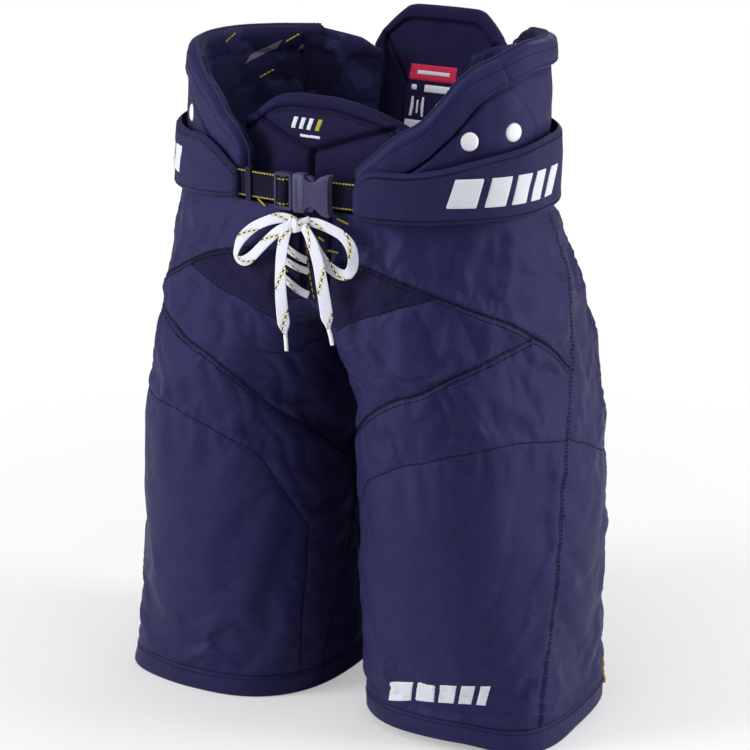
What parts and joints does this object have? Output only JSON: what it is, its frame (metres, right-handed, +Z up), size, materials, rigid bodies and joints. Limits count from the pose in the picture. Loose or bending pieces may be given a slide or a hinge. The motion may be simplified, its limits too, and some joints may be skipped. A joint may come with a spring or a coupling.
{
  "type": "hockey pants",
  "caption": "Padded ice hockey pants: two leg tubes with thigh guards, hip, kidney, spine and belly pads, a buckled waist belt and a laced fly.",
  "frame": {"origin": "middle of the footprint of the two leg hems and pads, on the floor plane", "axes": "+Z up, front faces -Y, the wearer's left is +X"},
  "size_m": [0.441, 0.2898, 0.6245],
  "materials": {
    "shell_fabric": "woven nylon, satin",
    "stretch_fabric": "stretch mesh, matte",
    "liner_fabric": "knitted lining, matte",
    "foam": "closed-cell foam, matte",
    "guard_plastic": "moulded polyethylene",
    "webbing": "woven strap",
    "buckle_plastic": "moulded acetal, satin",
    "keeper_plastic": "moulded",
    "rivet_plastic": "moulded",
    "lace": "flat braided lace, waxed"
  },
  "bodies": {
    "hips": {"hip_shell_left": "shell_fabric", "hip_shell_right": "shell_fabric", "stretch_panel_left": "stretch_fabric", "stretch_panel_right": "stretch_fabric", "crotch_gusset": "stretch_fabric", "waist_lining": "liner_fabric", "tailbone_guard_plate": "guard_plastic", "tailbone_guard_foam": "foam", "fly_facing_left": "liner_fabric", "fly_facing_right": "liner_fabric", "fly_tongue": "liner_fabric", "lace_row_upper": "lace", "lace_row_lower": "lace", "lace_knot": "lace", "lace_loop_left": "lace", "lace_loop_right": "lace", "belt_left": "shell_fabric", "belt_right": "shell_fabric", "webbing_left": "webbing", "webbing_right": "webbing", "buckle_socket": "buckle_plastic", "kidney_pad_left": "liner_fabric", "kidney_pad_right": "liner_fabric"},
    "leg_left": {"thigh_shell_front_left": "shell_fabric", "thigh_shell_rear_left": "shell_fabric", "inner_leg_panel_left": "shell_fabric", "hem_band_left": "shell_fabric", "thigh_guard_plate_left": "guard_plastic", "thigh_guard_foam_left": "foam"},
    "leg_right": {"thigh_shell_front_right": "shell_fabric", "thigh_shell_rear_right": "shell_fabric", "inner_leg_panel_right": "shell_fabric", "hem_band_right": "shell_fabric", "thigh_guard_plate_right": "guard_plastic", "thigh_guard_foam_right": "foam"},
    "hip_pad_left": {"hip_pad_cover_left": "shell_fabric", "hip_cap_plate_left": "guard_plastic", "hip_pad_foam_left": "foam", "hip_pad_facing_left": "shell_fabric", "rivet_cap_front_left": "rivet_plastic", "rivet_cap_rear_left": "rivet_plastic"},
    "hip_pad_right": {"hip_pad_cover_right": "shell_fabric", "hip_cap_plate_right": "guard_plastic", "hip_pad_foam_right": "foam", "hip_pad_facing_right": "shell_fabric", "rivet_cap_front_right": "rivet_plastic", "rivet_cap_rear_right": "rivet_plastic"},
    "spine_pad": {"spine_pad_cover": "shell_fabric", "spine_pad_foam": "foam", "spine_guard_plate": "guard_plastic"},
    "belly_pad": {"belly_pad_cover": "liner_fabric", "belly_pad_foam_left": "foam", "belly_pad_foam_right": "foam"},
    "buckle_plug": {"buckle_plug": "buckle_plastic"},
    "prong_upper": {"buckle_prong_upper": "buckle_plastic"},
    "prong_lower": {"buckle_prong_lower": "buckle_plastic"},
    "strap_keeper": {"strap_keeper": "keeper_plastic"},
    "lace_tail_left": {"lace_tail_left": "lace"},
    "lace_tail_right": {"lace_tail_right": "lace"}
  },
  "joints": [
    {"name": "leg_left_swing", "type": "hinge", "parent": "hips", "child": "leg_left", "pos_m": [0.115, -0.0043, 0.33], "axis": [-1, 0, 0], "range_deg": [-10, 20], "stiffness_Nm_per_rad": 12, "deforming": ["stretch_panel_left"]},
    {"name": "leg_right_swing", "type": "hinge", "parent": "hips", "child": "leg_right", "pos_m": [-0.115, -0.0043, 0.33], "axis": [-1, 0, 0], "range_deg": [-10, 20], "stiffness_Nm_per_rad": 12, "deforming": ["stretch_panel_right"]},
    {"name": "hip_pad_left_flare", "type": "hinge", "parent": "hips", "child": "hip_pad_left", "pos_m": [0.179, -0.0043, 0.546], "axis": [0, 1, 0], "range_deg": [0, 12], "stiffness_Nm_per_rad": 1.5},
    {"name": "hip_pad_right_flare", "type": "hinge", "parent": "hips", "child": "hip_pad_right", "pos_m": [-0.179, -0.0043, 0.536], "axis": [0, -1, 0], "range_deg": [0, 12], "stiffness_Nm_per_rad": 1.5},
    {"name": "spine_pad_flex", "type": "hinge", "parent": "hips", "child": "spine_pad", "pos_m": [0, 0.0937, 0.484], "axis": [-1, 0, 0], "range_deg": [-3, 15], "stiffness_Nm_per_rad": 2},
    {"name": "belly_pad_flex", "type": "hinge", "parent": "hips", "child": "belly_pad", "pos_m": [0, -0.1043, 0.462], "axis": [-1, 0, 0], "range_deg": [0, 15], "stiffness_Nm_per_rad": 1.5},
    {"name": "buckle_release", "type": "slide", "parent": "hips", "child": "buckle_plug", "axis": [-1, 0, 0], "range_m": [0, 0.023], "deforming": ["webbing_right"]},
    {"name": "prong_upper_squeeze", "type": "hinge", "parent": "buckle_plug", "child": "prong_upper", "pos_m": [-0.0065, -0.1295, 0.5015], "axis": [0, 1, 0], "range_deg": [0, 6]},
    {"name": "prong_lower_squeeze", "type": "hinge", "parent": "buckle_plug", "child": "prong_lower", "pos_m": [-0.0065, -0.1295, 0.4865], "axis": [0, 1, 0], "range_deg": [-6, 0]},
    {"name": "strap_keeper_slide", "type": "slide", "parent": "hips", "child": "strap_keeper", "axis": [0.9942, -0.108, 0], "range_m": [-0.0015, 0.0025]},
    {"name": "lace_tail_left_swing", "type": "hinge", "parent": "hips", "child": "lace_tail_left", "pos_m": [0.0115, -0.1413, 0.466], "axis": [0, 1, 0], "range_deg": [-12, 12]},
    {"name": "lace_tail_right_swing", "type": "hinge", "parent": "hips", "child": "lace_tail_right", "pos_m": [-0.0095, -0.1405, 0.47], "axis": [0, 1, 0], "range_deg": [-12, 12]}
  ],
  "couplings": [
    {"joint": "prong_lower_squeeze", "follows": "prong_upper_squeeze", "ratio": -1}
  ]
}
